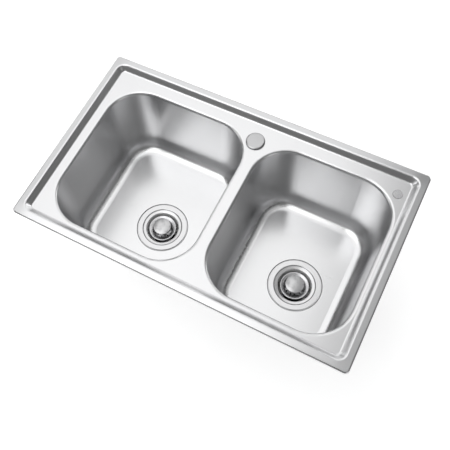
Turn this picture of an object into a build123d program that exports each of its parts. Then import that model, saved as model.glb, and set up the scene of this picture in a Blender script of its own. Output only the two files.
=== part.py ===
"""Double bowl kitchen sink: a pressed stainless drop-in sink with its strainers, waste fittings and clips.

Millimetres. X runs along the sink to the right, Y to the rear and Z up. The origin is the centre of the
rim, on the plane of the worktop that the lip rests on.
"""

from build123d import *
from math import atan2, cos, degrees, pi, radians, sin, tan
import os

os.makedirs("parts", exist_ok=True)


def keep(piece, name):
    """Labels a finished piece and writes it to its own file."""
    piece.part.label = name
    export_step(piece.part, f"parts/{name}.step")


def ring(plane, inner, outer, height):
    """A flat ring that stands on the plane's origin and rises along its normal."""
    with BuildPart() as made:
        with BuildSketch(plane):
            Circle(outer)
            Circle(inner, mode=Mode.SUBTRACT)
        extrude(amount=height)
    return made


# ---- driving dimensions ------------------------------------------------------------------------------

# Pressed sheet
sheet = 0.9  # thickness of the stainless sheet
rim_length = 720.0  # along X
rim_width = 430.0  # along Y
rim_corner = 9.0  # plan radius of the rim's corners
rim_height = 4.0  # top of the rim above the worktop
rim_edge = 3.0  # rolled edge between the rim and its lip
rim_flat = 15.0  # flat band between the outer edge and the step
step_run = 11.0  # the step down to the deck, seen in plan
step_drop = 12.0  # height of the step
step_corner = 19.0  # plan radius of the step at the rim's level
step_top_bend = 5.0  # bend at the head of the step
step_foot_bend = 4.5  # bend at its foot

# Flat deck between the foot of the step and the bowls
deck_left = 21.5
deck_right = 9.5
deck_front = 11.5
deck_rear = 28.5
divider = 31.0  # deck between the two bowls

# Bowls, measured at their mouths on the deck
right_bowl_length = 289.0  # along X, the left bowl takes the rest
bowl_depth = 198.0  # from the deck to the floor
bowl_corner = 80.0  # plan radius of a mouth's corners
bowl_draft = 3.5  # degrees that the walls lean inward
mouth_bend = 7.0  # bend between the deck and a wall
floor_bend = 30.0  # bend between a wall and the floor

# Drains
left_drain_share = (0.378, -0.48)  # from the middle of the floor, as a share of the room beside the pressing
right_drain_share = (0.385, -0.379)
drain_hole = 45.0  # radius
recess_clearance = 3.0  # the shallow pressing round a strainer's flange is this much wider
recess_depth = 1.6

# Tap hole and corner mark
tap_hole = 17.5  # radius
tap_from_divider = -8.0  # from the middle of the divider
tap_behind_corners = 67.0  # behind the centres of the mouths' rear corners
corner_disc_radius = 10.0
corner_disc_height = 0.8
corner_disc_bevel = 0.4
corner_disc_gap = 5.98  # from the mouth's bend to the disc
corner_disc_turn = 47.51  # degrees from +X, round the right mouth's rear corner

# Tap hole cover
cover_overlap = 2.5  # the disc reaches this far past the hole
cover_rise = 3.0  # crown of the disc over its ring
cover_bevel = 2.8
cover_bevel_height = 1.8
cover_crown = 0.5  # rise of the top inside the bevel
cover_ring_inset = 1.0  # the ring lies this far inside the disc's edge
cover_ring_height = 1.0
plug_in_hole = 3.5  # from the hole's edge to the sprung plug
plug_wall = 3.0
plug_length = 14.0  # below the deck's top
plug_slot = 3.5
plug_slot_foot = 1.5  # head of the slots below the deck's top
catch_height = 3.5
catch_gap = 0.4  # from the deck's underside to the catches
catch_clearance = 0.3  # between the catches and the hole

# Rim seal
seal_from_lip = 4.0  # from the rim's outer edge
seal_from_step = 3.0  # from the head of the step

# Worktop clips
worktop = 18.0  # thickness that the clips are set for
clip_spread = 230.0  # from the middle clip to its neighbour, front and rear
lug_sheet = 1.5
lug_width = 22.0
lug_head = 4.0  # head of the lug below the rim's top
lug_bend_height = 2.0  # its bend above the foot of the step
lug_below_arm = 7.0  # the lug goes on below the arm
weld_gap = 0.05  # a lug lies this close to the step
slot_clearance = 0.4  # round the arm in the lug's slot
arm_sheet = 2.0
arm_width = 8.0
arm_drop = 4.0  # underside of the worktop to the arm
arm_reach = 6.0  # the arm's outer end from the rim's outer edge
arm_hook = 3.5  # turned up behind the lug
arm_hook_gap = 1.0  # from the lug to the hook
tooth_gap = 0.5  # between the arm's outer tooth and the worktop
screw_radius = 2.5
screw_clearance = 0.1
screw_from_edge = 11.5
screw_tip_gap = 0.5  # between the screw's tip and the worktop
screw_head = 4.5
screw_head_height = 2.5

# Damping pads
pad_height = 3.0
pad_corner = 10.0
pad_from_locknut = 21.0
pad_from_side = 29.0  # from the bends at the bowl's sides
pad_from_rear = 6.0  # from the bend at its rear

# Strainer, heights from the bowl's floor
strainer_sheet = 1.0
flange_seat = 12.0  # the flange lies this far past the drain hole
flange_bend_out = 1.0  # its inner bend lies this far outside the hole
flange_corner = 0.6
cone_in_hole = 1.0  # head of the cone that leads from the flange into the cup
cone_head_drop = 1.0
cone_foot_drop = 2.4
throat = 1.2  # the cone ends this much wider than the cup
throat_drop = 8.0
cup_in_hole = 9.0  # from the hole's edge to the cup
cup_depth = 48.5
cup_fall = 1.5  # slope of the cup's floor to the outlet
outlet_radius = 19.0
outlet_length = 14.0
body_bends = (1.5, 1.0, 2.0, 4.0, 6.0, 3.0)  # from the flange to the outlet
thread_height = 1.5  # thread bands stand out from the sheet by this
thread_clearance = 0.25
cup_thread_drop = 6.5  # head of the cup's thread band
cup_thread_length = 30.0
outlet_thread_length = 12.0

# Gaskets and locknut
flange_gasket_inset = 0.8  # from the flange's edge
flange_gasket_out = 2.8  # outside the drain hole
under_gasket_in_hole = 1.1
under_gasket_past_nut = 2.0
under_gasket_height = 2.5
friction_past_nut = 1.0
friction_height = 1.0
nut_wall = 7.25
nut_flange = 6.0  # the locknut's flange stands out this far
nut_flange_height = 3.0
nut_height = 13.0
nut_ribs = 12
nut_rib = 4.0  # width of a rib, and twice its height

# Tailpiece
tail_wall = 1.8
tail_length = 62.0
tail_flange_height = 2.0
tail_flange_clearance = 0.35  # between the flange and the slip nut
tail_neck = 0.6  # the neck inside the nut is this much thicker, as a stop for the trap
tail_neck_length = 8.0
tail_neck_clearance = 0.4
tail_washer_height = 1.6
slip_nut_wall = 5.25
slip_nut_height = 17.0
slip_nut_floor = 3.0
slip_nut_ribs = 10
slip_nut_rib = 4.0

# Basket
basket_sheet = 0.8
basket_in_cup = 4.5  # gap between the basket's rim and the cup
basket_rim_drop = 3.6  # rim below the floor
basket_lip = 2.0  # turned-down edge of the rim
basket_rim_flat = 2.0
basket_funnel_run = 7.5  # the funnel inside the rim, seen in plan
basket_funnel_drop = 2.2
basket_draw_in = 1.5  # the foot is this much narrower than the mouth
basket_above_floor = 9.5  # from the basket's base to the cup's floor
basket_bends = (1.2, 1.5, 2.5, 4.0)  # lip, funnel, mouth and foot
base_hole = 1.9  # radius of the holes in the base
base_hole_inset = 6.0  # from the basket's wall to the outer ring of holes
base_hole_step = 5.0  # from one ring of holes to the next
base_hole_pitch = 7.5  # along a ring
wall_slots = 10
wall_slot_width = 3.0
wall_slot_height = 16.0
wall_slot_middle = 22.0  # below the floor
stem_radius = 3.1
stem_clearance = 0.1
stem_shoulder = 5.0
knob_in_mouth = 2.0  # the knob is this much narrower than the basket's mouth
knob_underside = 2.5
knob_edge = 4.5
knob_crown = 3.0
knob_round = 1.5
stopper_past_outlet = 5.0
stopper_lip = 4.0
stopper_hub = 6.5
stopper_gap = 0.35  # from the stopper to the cup's floor
basket_nut_radius = 5.5
basket_nut_height = 4.0

# ---- places worked out from the sizes ----------------------------------------------------------------

deck_z = rim_height - step_drop
floor_z = deck_z - bowl_depth
right_edge = rim_length / 2
rear_edge = rim_width / 2
deck_inset = rim_flat + step_run  # from the rim's outer edge to the foot of the step

mouth_left = -right_edge + deck_inset + deck_left
mouth_right = right_edge - deck_inset - deck_right
mouth_front = -rear_edge + deck_inset + deck_front
mouth_rear = rear_edge - deck_inset - deck_rear
bowl_width = mouth_rear - mouth_front
bowl_y = (mouth_front + mouth_rear) / 2
divider_x = mouth_right - right_bowl_length - divider / 2
left_bowl_length = divider_x - divider / 2 - mouth_left
left_bowl_x = mouth_left + left_bowl_length / 2
right_bowl_x = mouth_right - right_bowl_length / 2
bowls = ((left_bowl_x, left_bowl_length), (right_bowl_x, right_bowl_length))
rear_corners_y = mouth_rear - bowl_corner  # centres of the mouths' rear corners

tap_x = divider_x + tap_from_divider
tap_y = rear_corners_y + tap_behind_corners

# The outside of a sloped wall lies further out than its inside, measured level.
step_slant = degrees(atan2(step_run, step_drop))
step_shift = sheet / cos(radians(step_slant))
wall_shift = sheet / cos(radians(bowl_draft))
recess_slant = 45.0
recess_shift = sheet / cos(radians(recess_slant))

flange_radius = drain_hole + flange_seat
recess_radius = flange_radius + recess_clearance

# The flat of a floor ends this far inside the bowl's mouth.
floor_inset = bowl_depth * tan(radians(bowl_draft)) + floor_bend * tan(radians(45 - bowl_draft / 2))


def drain_place(bowl_x, bowl_length, share):
    """A drain's centre: a share of the way that its pressing can move from the middle of the flat floor."""
    room_x = bowl_length / 2 - floor_inset - recess_radius
    room_y = bowl_width / 2 - floor_inset - recess_radius
    return (bowl_x + share[0] * room_x, bowl_y + share[1] * room_y)


left_drain = drain_place(left_bowl_x, left_bowl_length, left_drain_share)
right_drain = drain_place(right_bowl_x, right_bowl_length, right_drain_share)


def well(plane, length, width, corner, depth, slant, foot_bend):
    """A rounded rectangular well that narrows as it goes down, with a bend round its floor."""
    with BuildPart() as made:
        with BuildSketch(plane):
            RectangleRounded(length, width, corner)
        extrude(amount=-depth, taper=slant)
        fillet(made.faces().sort_by(Axis.Z)[0].edges(), foot_bend)
    return made.part


def dish(drain, slope_shift, depth):
    """The round pressing in a bowl's floor that the strainer's flange lies in, with a slanted edge."""
    with BuildPart() as made:
        with BuildSketch(Plane((*drain, floor_z))):
            Circle(recess_radius + slope_shift)
        extrude(amount=-depth, taper=recess_slant)
    return made.part


def rim_block(inset):
    """The rim and its lip as a solid block, drawn in all round and from above by an inset."""
    with BuildPart() as made:
        with BuildSketch():
            RectangleRounded(rim_length - 2 * inset, rim_width - 2 * inset, rim_corner - inset)
        extrude(amount=rim_height - inset)
        fillet(made.faces().sort_by(Axis.Z)[-1].edges(), rim_edge - inset)
    return made.part


def edges_round(piece, height, x, y, length, width):
    """The piece's edges at one height that lie within a box about a well's mouth."""
    return piece.edges().filter_by(
        lambda edge: abs(edge.center().Z - height) < 1e-3
        and abs(edge.center().X - x) < length / 2 + 1
        and abs(edge.center().Y - y) < width / 2 + 1
    )


# ---- sink shell --------------------------------------------------------------------------------------

step_length = rim_length - 2 * rim_flat
step_width = rim_width - 2 * rim_flat
rim_top = Plane.XY.offset(rim_height)
air_above = 20.0

# The air over the sheet: above the rim, down the step to the deck, and in both bowls.
step_air = well(rim_top, step_length, step_width, step_corner, step_drop, step_slant, step_foot_bend)
bowl_airs = [
    well(Plane((x, bowl_y, deck_z)), length, bowl_width, bowl_corner, bowl_depth, bowl_draft, floor_bend)
    for x, length in bowls
]
with BuildPart() as air:
    with BuildSketch(rim_top):
        Rectangle(rim_length + 2 * rim_flat, rim_width + 2 * rim_flat)
    extrude(amount=air_above)
    add(step_air)
    fillet(edges_round(air, rim_height, 0, 0, step_length, step_width), step_top_bend)
    for bowl_air, (x, length) in zip(bowl_airs, bowls):
        add(bowl_air)
        fillet(edges_round(air, deck_z, x, bowl_y, length, bowl_width), mouth_bend)
    for drain in (left_drain, right_drain):
        add(dish(drain, 0, recess_depth))

# The sheet's outside: the same wells, each larger by the sheet, hanging from the rim.
step_outside = well(
    rim_top,
    step_length + 2 * step_shift,
    step_width + 2 * step_shift,
    step_corner + step_shift,
    step_drop + sheet,
    step_slant,
    step_foot_bend + sheet,
)
bowl_outsides = [
    well(
        Plane((x, bowl_y, deck_z)),
        length + 2 * wall_shift,
        bowl_width + 2 * wall_shift,
        bowl_corner + wall_shift,
        bowl_depth + sheet,
        bowl_draft,
        floor_bend + sheet,
    )
    for x, length in bowls
]
with BuildPart() as sink_shell:
    add(rim_block(0))
    add(rim_block(sheet), mode=Mode.SUBTRACT)
    add(step_outside)
    fillet(
        edges_round(sink_shell, rim_height - sheet, 0, 0, step_length, step_width),
        step_top_bend - sheet,
    )
    for bowl_outside, (x, length) in zip(bowl_outsides, bowls):
        add(bowl_outside)
        fillet(edges_round(sink_shell, deck_z - sheet, x, bowl_y, length, bowl_width), mouth_bend - sheet)
    for drain in (left_drain, right_drain):
        add(dish(drain, recess_shift, recess_depth + sheet))
    add(air.part, mode=Mode.SUBTRACT)
    for drain in (left_drain, right_drain):
        with BuildSketch(Plane((*drain, floor_z))):
            Circle(drain_hole)
        extrude(amount=-recess_depth - 2 * sheet, mode=Mode.SUBTRACT)
    with BuildSketch(Plane((tap_x, tap_y, deck_z))):
        Circle(tap_hole)
    extrude(amount=-2 * sheet, mode=Mode.SUBTRACT)
keep(sink_shell, "sink_shell")


# ---- tap hole cover and corner disc ------------------------------------------------------------------


def section(x, y, z):
    """An upright plane through an axis: radius along its x, height along its y."""
    return Plane((x, y, z), x_dir=(1, 0, 0), z_dir=(0, -1, 0))


tap_section = section(tap_x, tap_y, deck_z)
tap_axis = Axis((tap_x, tap_y, deck_z), (0, 0, 1))
cover_radius = tap_hole + cover_overlap
cover_top = cover_ring_height + cover_rise
plug_radius = tap_hole - plug_in_hole

# Steel disc with a bevelled edge and a slightly crowned top.
with BuildPart() as tap_hole_cover:
    with BuildSketch(tap_section):
        with BuildLine():
            crown = TangentArc(
                (0, cover_top), (cover_radius - cover_bevel, cover_top - cover_crown), tangent=(1, 0)
            )
            Polyline(
                crown @ 1,
                (cover_radius, cover_top - cover_bevel_height),
                (cover_radius, cover_ring_height),
                (0, cover_ring_height),
                crown @ 0,
            )
        make_face()
    revolve(axis=tap_axis)
keep(tap_hole_cover, "tap_hole_cover")

tap_cover_ring = ring(
    Plane((tap_x, tap_y, deck_z)),
    plug_radius + catch_clearance,
    cover_radius - cover_ring_inset,
    cover_ring_height,
)
keep(tap_cover_ring, "tap_cover_ring")

# Sprung plastic plug: a collar under the disc and four fingers with catches below the deck.
catch_radius = tap_hole - catch_clearance
catch_top = -sheet - catch_gap
with BuildPart() as tap_cover_legs:
    with BuildSketch(tap_section):
        with BuildLine():
            Polyline(
                (plug_radius - plug_wall, cover_ring_height),
                (plug_radius, cover_ring_height),
                (plug_radius, catch_top),
                (catch_radius, catch_top - catch_height / 3),
                (catch_radius, catch_top - catch_height / 2),
                (plug_radius, catch_top - catch_height),
                (plug_radius, -plug_length),
                (plug_radius - plug_wall, -plug_length),
                close=True,
            )
        make_face()
    revolve(axis=tap_axis)
    with BuildSketch(Plane((tap_x, tap_y, deck_z - plug_slot_foot))):
        with PolarLocations(0, 2):
            Rectangle(2 * tap_hole, plug_slot)
            Rectangle(plug_slot, 2 * tap_hole)
    extrude(amount=-plug_length, mode=Mode.SUBTRACT)
keep(tap_cover_legs, "tap_cover_legs")

# Small bright disc on the deck, set out round the right mouth's rear corner.
disc_reach = bowl_corner + mouth_bend + corner_disc_gap + corner_disc_radius
disc_x = mouth_right - bowl_corner + disc_reach * cos(radians(corner_disc_turn))
disc_y = rear_corners_y + disc_reach * sin(radians(corner_disc_turn))
with BuildPart() as corner_disc:
    with BuildSketch(Plane((disc_x, disc_y, deck_z))):
        Circle(corner_disc_radius)
    extrude(amount=corner_disc_height)
    chamfer(corner_disc.faces().sort_by(Axis.Z)[-1].edges(), corner_disc_bevel)
keep(corner_disc, "corner_disc")

# ---- rim seal and worktop clips ----------------------------------------------------------------------

# Foam strip between the rim and the worktop.
seal_inset = rim_flat - seal_from_step
with BuildPart() as rim_seal:
    with BuildSketch():
        RectangleRounded(
            rim_length - 2 * seal_from_lip,
            rim_width - 2 * seal_from_lip,
            rim_corner - seal_from_lip,
        )
        Rectangle(rim_length - 2 * seal_inset, rim_width - 2 * seal_inset, mode=Mode.SUBTRACT)
    extrude(amount=rim_height - sheet)
keep(rim_seal, "rim_seal")


def clip_plane(x, y, inward):
    """Upright plane across the rim's edge: its x runs inward from the outer edge, its y is the height."""
    inward = Vector(inward)
    return Plane((x, y, 0), x_dir=inward, z_dir=inward.cross(Vector(0, 0, 1)))


clip_planes = [clip_plane(0, rear_edge, (0, -1, 0)), clip_plane(0, -rear_edge, (0, 1, 0))]
for clip_x in (-clip_spread, clip_spread):
    clip_planes.append(clip_plane(clip_x, rear_edge, (0, -1, 0)))
    clip_planes.append(clip_plane(clip_x, -rear_edge, (0, 1, 0)))
clip_planes.append(clip_plane(-right_edge, 0, (1, 0, 0)))
clip_planes.append(clip_plane(right_edge, 0, (-1, 0, 0)))


def step_back(height):
    """Distance inward of a lug's face, which follows the underside of the step, at a height."""
    return rim_flat - step_shift - weld_gap + (rim_height - height) * step_run / step_drop


lug_top = rim_height - lug_head
lug_bend = deck_z + lug_bend_height
lug_face = step_back(lug_bend)
arm_top = -worktop - arm_drop
arm_foot = arm_top - arm_sheet
lug_end = arm_foot - lug_below_arm

# Bent lug welded under the step, with a slot for the arm's hook.
with BuildPart() as clip_lugs:
    for plane in clip_planes:
        with BuildSketch(plane):
            with BuildLine():
                Polyline((step_back(lug_top), lug_top), (lug_face, lug_bend), (lug_face, lug_end))
                offset(amount=lug_sheet, side=Side.RIGHT, closed=True)
            make_face()
        extrude(amount=lug_width / 2, both=True)
        with BuildSketch(plane):
            with Locations((lug_face - lug_sheet / 2, (arm_top + arm_foot) / 2)):
                Rectangle(2 * lug_sheet, arm_sheet + 2 * slot_clearance)
        extrude(amount=arm_width / 2 + slot_clearance, both=True, mode=Mode.SUBTRACT)
keep(clip_lugs, "clip_lugs")

# Flat arm: its hook goes through the lug's slot and its tooth points up at the worktop.
hook_end = lug_face + arm_hook_gap + arm_sheet
with BuildPart() as clip_arms:
    for plane in clip_planes:
        with BuildSketch(plane):
            with BuildLine():
                Polyline(
                    (arm_reach, -worktop - tooth_gap),
                    (arm_reach, arm_foot),
                    (hook_end, arm_foot),
                    (hook_end, arm_top + arm_hook),
                )
                offset(amount=arm_sheet, side=Side.LEFT, closed=True)
            make_face()
        extrude(amount=arm_width / 2, both=True)
        with BuildSketch(Plane(plane.from_local_coords(Vector(screw_from_edge, arm_foot, 0)))):
            Circle(screw_radius + screw_clearance)
        extrude(amount=arm_sheet, mode=Mode.SUBTRACT)
keep(clip_arms, "clip_arms")

with BuildPart() as clip_screws:
    for plane in clip_planes:
        foot = plane.from_local_coords(Vector(screw_from_edge, arm_foot, 0))
        with BuildSketch(Plane(foot)):
            Circle(screw_head)
        extrude(amount=-screw_head_height)
        with BuildSketch(Plane(foot)):
            Circle(screw_radius)
        extrude(amount=-worktop - screw_tip_gap - arm_foot)
keep(clip_screws, "clip_screws")

# ---- strainers, waste fittings and pads --------------------------------------------------------------

# Strainer: radii, and heights down a drain's axis from the bowl's floor.
flange_bend = drain_hole + flange_bend_out
cone_head = drain_hole - cone_in_hole
cup_radius = drain_hole - cup_in_hole
outlet_head = -cup_depth - cup_fall
outlet_foot = outlet_head - outlet_length
thread_radius = cup_radius + strainer_sheet + thread_height
outlet_thread = outlet_radius + strainer_sheet + thread_height

# Below the floor: gaskets, friction ring and locknut.
nut_bore = thread_radius + thread_clearance
nut_radius = nut_bore + nut_wall
nut_flange_radius = nut_radius + nut_flange
friction_top = -recess_depth - sheet - under_gasket_height
nut_top = friction_top - friction_height

# Below the outlet: washer, tailpiece and slip nut.
tail_radius = outlet_radius
washer_foot = outlet_foot - tail_washer_height
tail_flange_foot = washer_foot - tail_flange_height
slip_nut_foot = tail_flange_foot - slip_nut_floor
slip_nut_bore = outlet_thread + thread_clearance
slip_nut_radius = slip_nut_bore + slip_nut_wall
tail_flange = slip_nut_bore - tail_flange_clearance

# Basket, its knob and its stopper.
basket_rim = cup_radius - basket_in_cup
funnel_head = basket_rim - basket_rim_flat
basket_mouth = funnel_head - basket_funnel_run
basket_foot = basket_mouth - basket_draw_in
basket_base = -cup_depth + basket_above_floor
first_ring = basket_foot - base_hole_inset
base_hole_rings = 1 + int((first_ring - stopper_hub - base_hole) / base_hole_step)
knob_radius = basket_mouth - knob_in_mouth
knob_top = knob_underside + knob_edge
stopper_radius = outlet_radius + stopper_past_outlet
stopper_top = basket_base - basket_sheet
cup_floor_slope = cup_fall / (cup_radius - outlet_radius)
stopper_foot = -cup_depth - (cup_radius - stopper_radius) * cup_floor_slope + stopper_gap
stem_foot = stopper_foot - basket_nut_height
stem_bore = stem_radius + stem_clearance

# The pads lie on the flat of the floor, between the locknuts and the rear bend.
pad_rear = mouth_rear - floor_inset - pad_from_rear
pad_front = max(left_drain[1], right_drain[1]) + nut_flange_radius + pad_from_locknut

for side, drain, (bowl_x, bowl_length) in zip(("left", "right"), (left_drain, right_drain), bowls):
    upright = section(*drain, floor_z)
    axis = Axis((*drain, floor_z), (0, 0, 1))

    def level(height):
        """Flat plane on the drain's axis at a height from the floor."""
        return Plane((*drain, floor_z + height))

    # Flange, cone, cup and outlet pressed from one sheet, with its two thread bands.
    with BuildPart() as strainer_body:
        with BuildSketch(upright):
            with BuildLine():
                FilletPolyline(
                    (flange_radius, strainer_sheet),
                    (flange_bend, strainer_sheet),
                    (cone_head, -cone_head_drop),
                    (cup_radius + throat, -cone_foot_drop),
                    (cup_radius, -throat_drop),
                    (cup_radius, -cup_depth),
                    (outlet_radius, outlet_head),
                    (outlet_radius, outlet_foot),
                    radius=body_bends,
                )
                offset(amount=strainer_sheet, side=Side.LEFT, closed=True)
            make_face()
        revolve(axis=axis)
        fillet(strainer_body.faces().sort_by(Axis.Z)[-1].edges().sort_by(SortBy.RADIUS)[-1], flange_corner)
        with BuildSketch(level(-cup_thread_drop)):
            Circle(thread_radius)
            Circle(cup_radius + strainer_sheet / 2, mode=Mode.SUBTRACT)
        extrude(amount=-cup_thread_length)
        with BuildSketch(level(outlet_foot)):
            Circle(outlet_thread)
            Circle(outlet_radius + strainer_sheet / 2, mode=Mode.SUBTRACT)
        extrude(amount=outlet_thread_length)
    keep(strainer_body, f"{side}_strainer_body")

    # Rubber above and below the pressing, and the fibre ring that lets the locknut slide.
    flange_gasket = ring(
        level(-recess_depth),
        drain_hole + flange_gasket_out,
        flange_radius - flange_gasket_inset,
        recess_depth,
    )
    keep(flange_gasket, f"{side}_flange_gasket")
    under_gasket = ring(
        level(friction_top),
        drain_hole - under_gasket_in_hole,
        nut_flange_radius + under_gasket_past_nut,
        under_gasket_height,
    )
    keep(under_gasket, f"{side}_under_gasket")
    friction_ring = ring(
        level(nut_top),
        nut_bore + thread_clearance,
        nut_flange_radius + friction_past_nut,
        friction_height,
    )
    keep(friction_ring, f"{side}_friction_ring")

    # Ribbed locknut with a broad flange.
    with BuildPart() as locknut:
        with BuildSketch(level(nut_top)):
            Circle(nut_radius)
            with PolarLocations(nut_radius, nut_ribs):
                Rectangle(nut_rib, nut_rib)
        extrude(amount=-nut_height)
        with BuildSketch(level(nut_top)):
            Circle(nut_flange_radius)
        extrude(amount=-nut_flange_height)
        with BuildSketch(level(nut_top)):
            Circle(nut_bore)
        extrude(amount=-nut_height, mode=Mode.SUBTRACT)
    keep(locknut, f"{side}_locknut")

    tail_washer = ring(level(washer_foot), outlet_radius, tail_flange, tail_washer_height)
    keep(tail_washer, f"{side}_tail_washer")

    # Flanged waste tube that the trap pushes onto.
    with BuildPart() as tailpiece:
        with BuildSketch(level(washer_foot)):
            Circle(tail_flange)
        extrude(amount=-tail_flange_height)
        with BuildSketch(level(washer_foot)):
            Circle(tail_radius + tail_neck)
        extrude(amount=-tail_neck_length)
        with BuildSketch(level(washer_foot)):
            Circle(tail_radius)
        extrude(amount=-tail_length)
        with BuildSketch(level(washer_foot)):
            Circle(tail_radius - tail_wall)
        extrude(amount=-tail_length, mode=Mode.SUBTRACT)
    keep(tailpiece, f"{side}_tailpiece")

    # Nut that draws the tube's flange up against the outlet.
    with BuildPart() as slip_nut:
        with BuildSketch(level(slip_nut_foot)):
            Circle(slip_nut_radius)
            with PolarLocations(slip_nut_radius, slip_nut_ribs):
                Rectangle(slip_nut_rib, slip_nut_rib)
            Circle(tail_radius + tail_neck + tail_neck_clearance, mode=Mode.SUBTRACT)
        extrude(amount=slip_nut_height)
        with BuildSketch(level(tail_flange_foot)):
            Circle(slip_nut_bore)
        extrude(amount=slip_nut_height, mode=Mode.SUBTRACT)
    keep(slip_nut, f"{side}_slip_nut")

    # Pressed basket: a funnel inside its rim, rings of holes in its base and slots round its wall.
    with BuildPart() as basket:
        with BuildSketch(upright):
            with BuildLine():
                FilletPolyline(
                    (basket_rim, -basket_rim_drop - basket_lip),
                    (basket_rim, -basket_rim_drop),
                    (funnel_head, -basket_rim_drop),
                    (basket_mouth, -basket_rim_drop - basket_funnel_drop),
                    (basket_foot, basket_base),
                    (stem_bore, basket_base),
                    radius=basket_bends,
                )
                offset(amount=basket_sheet, side=Side.LEFT, closed=True)
            make_face()
        revolve(axis=axis)
        with BuildSketch(level(basket_base)):
            for hole_ring in range(base_hole_rings):
                pitch_radius = first_ring - hole_ring * base_hole_step
                with PolarLocations(pitch_radius, int(2 * pi * pitch_radius / base_hole_pitch)):
                    Circle(base_hole)
        extrude(amount=-basket_sheet, mode=Mode.SUBTRACT)
        for turn in range(wall_slots // 2):
            angle = radians(360 * (turn + 0.5) / wall_slots)
            outward = (cos(angle), sin(angle), 0)
            with BuildSketch(Plane((*drain, floor_z - wall_slot_middle), (0, 0, 1), outward)):
                SlotOverall(wall_slot_height, wall_slot_width)
            extrude(amount=basket_rim, both=True, mode=Mode.SUBTRACT)
    keep(basket, f"{side}_basket")

    # Broad crowned knob on its stem, which passes through the basket and the stopper.
    with BuildPart() as basket_knob:
        with BuildSketch(upright):
            with BuildLine():
                crown = TangentArc((0, knob_top + knob_crown), (knob_radius, knob_top), tangent=(1, 0))
                Polyline(
                    crown @ 1,
                    (knob_radius, knob_underside),
                    (stem_shoulder, knob_underside),
                    (stem_shoulder, basket_base),
                    (stem_radius, basket_base),
                    (stem_radius, stem_foot),
                    (0, stem_foot),
                    crown @ 0,
                )
            make_face()
        revolve(axis=axis)
        fillet(basket_knob.edges().filter_by(GeomType.CIRCLE).sort_by(SortBy.RADIUS)[-2:], knob_round)
    keep(basket_knob, f"{side}_basket_knob")

    # Rubber stopper under the basket, and the nut that holds the three together.
    with BuildPart() as basket_stopper:
        with BuildSketch(level(stopper_foot)):
            Circle(stopper_radius)
        extrude(amount=stopper_lip)
        with BuildSketch(level(stopper_top)):
            Circle(stopper_hub)
        extrude(amount=stopper_foot - stopper_top)
        with BuildSketch(level(stopper_foot)):
            Circle(stem_bore)
        extrude(amount=stopper_top - stopper_foot, mode=Mode.SUBTRACT)
    keep(basket_stopper, f"{side}_basket_stopper")

    with BuildPart() as basket_nut:
        with BuildSketch(level(stem_foot)):
            RegularPolygon(basket_nut_radius, 6)
            Circle(stem_bore, mode=Mode.SUBTRACT)
        extrude(amount=basket_nut_height)
    keep(basket_nut, f"{side}_basket_nut")

    # Damping pad bonded under the floor, behind the drain.
    pad_length = bowl_length - 2 * (floor_inset + pad_from_side)
    with BuildPart() as sound_pad:
        with BuildSketch(Plane((bowl_x, (pad_front + pad_rear) / 2, floor_z - sheet))):
            RectangleRounded(pad_length, pad_rear - pad_front, pad_corner)
        extrude(amount=-pad_height)
    keep(sound_pad, f"{side}_sound_pad")
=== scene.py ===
import bpy
from math import pi, radians
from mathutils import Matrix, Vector


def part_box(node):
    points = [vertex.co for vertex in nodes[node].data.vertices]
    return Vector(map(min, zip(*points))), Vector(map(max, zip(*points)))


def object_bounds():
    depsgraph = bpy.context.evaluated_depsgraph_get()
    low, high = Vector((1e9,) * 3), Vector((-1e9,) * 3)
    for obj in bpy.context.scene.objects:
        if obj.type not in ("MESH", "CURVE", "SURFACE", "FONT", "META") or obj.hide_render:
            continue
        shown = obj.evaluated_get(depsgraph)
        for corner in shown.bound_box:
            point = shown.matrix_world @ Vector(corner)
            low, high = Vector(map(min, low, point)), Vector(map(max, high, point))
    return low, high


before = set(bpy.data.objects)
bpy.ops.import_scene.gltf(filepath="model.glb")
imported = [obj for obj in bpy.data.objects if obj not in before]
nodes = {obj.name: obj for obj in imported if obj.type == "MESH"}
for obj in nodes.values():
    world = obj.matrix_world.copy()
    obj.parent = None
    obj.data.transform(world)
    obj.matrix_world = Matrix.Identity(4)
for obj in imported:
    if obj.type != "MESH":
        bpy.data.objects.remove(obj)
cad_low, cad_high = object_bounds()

bpy.ops.object.select_all(action="DESELECT")


# ---- sink shell --------------------------------------------------------------------------------------
# One sheet of 0.9 mm stainless, deep drawn into two bowls, with a stepped rim whose edge is turned down.
# The seen face is satin, ground with a fine belt along the sink, and the underside keeps the mill's dull
# grey. The lip's outer edge is rubbed smoother where hands and cloths pass over it, and its colour is
# darkened there as painted shade.

def new_finish(name, colour, metal, roughness):
    """A material with its shader set; returns it, its tree, the shader and the place on the piece."""
    finish = bpy.data.materials.new(name)
    finish.use_nodes = True
    tree = finish.node_tree
    skin = tree.nodes["Principled BSDF"]
    skin.inputs["Base Color"].default_value = (*colour, 1.0)
    skin.inputs["Metallic"].default_value = metal
    skin.inputs["Roughness"].default_value = roughness
    place = tree.nodes.new("ShaderNodeTexCoord")
    place.location = (-1200, 0)
    return finish, tree, skin, place


def add_group(tree, group, **values):
    """Places a shader group in a material with its own values."""
    made = tree.nodes.new("ShaderNodeGroup")
    made.node_tree = group
    made.location = (-500, 0)
    for name, value in values.items():
        made.inputs[name].default_value = value
    return made


def add_mapping(tree, place, location=(0, 0, 0), scale=(1, 1, 1)):
    """Centres or stretches a pattern on a piece."""
    made = tree.nodes.new("ShaderNodeMapping")
    made.location = (-900, 0)
    made.inputs["Location"].default_value = location
    made.inputs["Scale"].default_value = scale
    tree.links.new(place.outputs["Object"], made.inputs["Vector"])
    return made


def add_bump(tree, height, skin, strength, distance):
    """Feeds a group's height to the shader's normal."""
    made = tree.nodes.new("ShaderNodeBump")
    made.location = (-200, -300)
    made.inputs["Strength"].default_value = strength
    made.inputs["Distance"].default_value = distance
    tree.links.new(height, made.inputs["Height"])
    tree.links.new(made.outputs["Normal"], skin.inputs["Normal"])
    return made


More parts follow.
